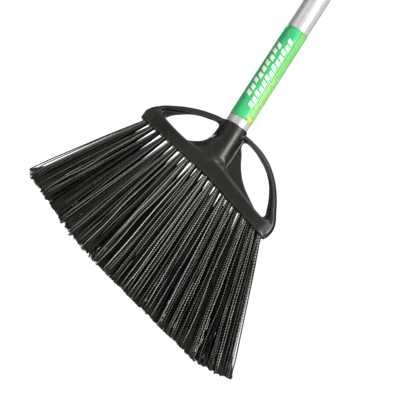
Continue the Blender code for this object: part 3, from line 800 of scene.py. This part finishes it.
def label(material):
    """A thin film wrapped once round the tube, its ends lapped at the back."""
    rings, around = 29, 96
    half_lap, lap_lift, end_taper = 0.06, 0.08, -0.1
    height = LABEL_HIGH - LABEL_LOW
    angles = np.linspace(-math.pi - half_lap, math.pi + half_lap, around + 1)
    lift = lap_lift * ramp(angles, math.pi - 0.1, math.pi + 0.05)
    along = np.linspace(0.0, height, rings)
    taper = np.where((along < 0.5) | (along > height - 0.5), end_taper, 0.0)
    faces, uvs = [], []
    outer_r = FILM_OUTSIDE + lift[None, :] + taper[:, None]
    inner_r = np.broadcast_to(FILM_INSIDE + lift[None, :], outer_r.shape)
    points = np.concatenate([
        on_handle(r * np.sin(angles), -r * np.cos(angles), LABEL_LOW + along[:, None])
        .reshape(-1, 3) for r in (outer_r, inner_r)])
    across = np.degrees(angles)
    size = rings * (around + 1)
    for i in range(rings - 1):
        for j in range(around):
            p = i * (around + 1) + j
            q = p + around + 1
            corners = [(p, i, j), (p + 1, i, j + 1), (q + 1, i + 1, j + 1), (q, i + 1, j)]
            faces.append([c[0] for c in corners])
            uvs += [(across[c[2]], along[c[1]]) for c in corners]
            faces.append([c[0] + size for c in reversed(corners)])
            uvs += [(across[c[2]], along[c[1]]) for c in reversed(corners)]
    for j in range(around):
        for i, flip in ((0, False), (rings - 1, True)):
            p = i * (around + 1) + j
            ring = [p + size, p + 1 + size, p + 1, p]
            ends = [(across[j], along[i]), (across[j + 1], along[i]),
                    (across[j + 1], along[i]), (across[j], along[i])]
            faces.append(ring[::-1] if flip else ring)
            uvs += ends[::-1] if flip else ends
    obj = make("printed_label", points, faces, material)
    obj.data.uv_layers.new(name="film").data.foreach_set(
        "uv", np.array(uvs, np.float32).ravel())
    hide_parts("label_sleeve")
    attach(obj, "handle")


# ---------------------------------------------------------------- stage, light and camera

WORLD_LIGHT = 0.13
# What the lamps face, in metres in the row frame
HEAD_SPOT, LOW_SPOT, MID_SPOT, HIGH_SPOT = (
    (-0.02, 0.0, 0.16), (-0.1, 0.0, 0.4), (-0.1, 0.0, 0.5), (-0.15, 0.0, 0.9))


def stage():
    """A pale floor and a white world: both are plain white to the camera and dimmer as light."""
    bpy.ops.mesh.primitive_plane_add(size=60.0, location=(0.0, 0.0, -0.0005))
    floor = bpy.context.object
    floor.name = "floor"
    n = Nodes("pale_floor")
    n.tree.nodes.remove(n.shader)
    paint = n.add("ShaderNodeBsdfDiffuse", values={"Color": (0.7, 0.7, 0.7, 1.0)})
    glow = n.add("ShaderNodeEmission")
    seen = n.add("ShaderNodeLightPath").outputs["Is Camera Ray"]
    n.tree.links.new(seen, glow.inputs["Strength"])
    both = n.add("ShaderNodeAddShader", {0: paint.outputs[0], 1: glow.outputs[0]})
    out = n.tree.nodes["Material Output"]
    n.tree.links.new(both.outputs[0], out.inputs["Surface"])
    floor.data.materials.append(n.material)
    world = bpy.data.worlds.new("studio")
    bpy.context.scene.world = world
    world.use_nodes = True
    tree = world.node_tree
    background = tree.nodes["Background"]
    path = tree.nodes.new("ShaderNodeLightPath")
    strength = tree.nodes.new("ShaderNodeMath")
    strength.operation = "ADD"
    strength.inputs[1].default_value = WORLD_LIGHT
    tree.links.new(path.outputs["Is Camera Ray"], strength.inputs[0])
    tree.links.new(strength.outputs[0], background.inputs["Strength"])
    background.inputs["Color"].default_value = (1.0, 1.0, 1.0, 1.0)


def lamp(name, direction, distance, size, power, target, along=(0.0, 0.0, 1.0)):
    """A rectangular lamp that faces its target, its longer side turned to lie along a line."""
    data = bpy.data.lights.new(name, "AREA")
    data.shape = "RECTANGLE"
    data.size, data.size_y = size
    data.energy = power
    obj = bpy.data.objects.new(name, data)
    bpy.context.scene.collection.objects.link(obj)
    back = Vector(direction).normalized()
    obj.location = Vector(target) + back * distance
    right = Vector(along).cross(back).normalized()
    up = back.cross(right)
    turn = Matrix((right, up, back)).transposed()
    obj.rotation_euler = turn.to_euler()


def lights():
    lean = (-math.sin(LEAN), 0.0, math.cos(LEAN))
    lamp("key", (0.72, -0.69, 0.12), 1.4, (0.44, 1.0), 26.0, HEAD_SPOT, lean)
    lamp("fill", (-0.75, -0.65, 0.35), 2.0, (1.0, 1.8), 6.5, LOW_SPOT)
    lamp("brow", (0.10, -0.75, 0.62), 1.5, (1.4, 0.25), 8.0, HEAD_SPOT)
    lamp("handle_key", (0.80, -0.60, 0.12), 1.6, (0.20, 1.6), 2.0, HIGH_SPOT, lean)
    lamp("top", (0.15, -0.25, 1.0), 2.2, (1.6, 1.6), 22.0, MID_SPOT)
    lamp("back", (-0.5, 0.8, 0.35), 2.2, (1.4, 1.4), 18.0, MID_SPOT)


CAMERA_ROLL = 44.5   # degrees, as the upright broom is seen tilted
CAMERA_PITCH = 6.2   # degrees, how far the camera looks up in its own frame
CAMERA_PLACE = (0.0773, -1.1410, 0.0353)


def camera():
    data = bpy.data.cameras.new("camera")
    data.lens, data.sensor_width = 99.0, 36.0
    data.clip_start, data.clip_end = 0.05, 100.0
    obj = bpy.data.objects.new("camera", data)
    bpy.context.scene.collection.objects.link(obj)
    roll, pitch = math.radians(CAMERA_ROLL), math.radians(CAMERA_PITCH)
    right = Vector((math.cos(roll), 0.0, math.sin(roll)))
    up = Vector((-math.sin(roll) * math.cos(pitch), -math.sin(pitch),
                 math.cos(roll) * math.cos(pitch)))
    turn = Matrix((right, up, right.cross(up))).transposed()
    obj.matrix_world = Matrix.Translation(CAMERA_PLACE) @ turn.to_4x4()
    bpy.context.scene.camera = obj


TUFTS = tufts()
camera()
stage()
lights()
bpy.context.scene.view_settings.view_transform = "Standard"

black = moulded_plastic("head_plastic_black", (0.0056, 0.0062, 0.0036), 0.36)
head(black)
fibre = bristle_fibre()
for number in range(COLUMNS):
    bristle_column(number, fibre)
end_cap(moulded_plastic("cap_plastic_black", (0.013, 0.013, 0.012), 0.42))
label(printed_film())
for node, finish in (("handle_tube", satin_tube()),
                     ("thread_tip", moulded_plastic("tip_plastic_grey", (0.03, 0.03, 0.03), 0.5))):
    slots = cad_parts[node].data.materials
    slots.clear()
    slots.append(finish)
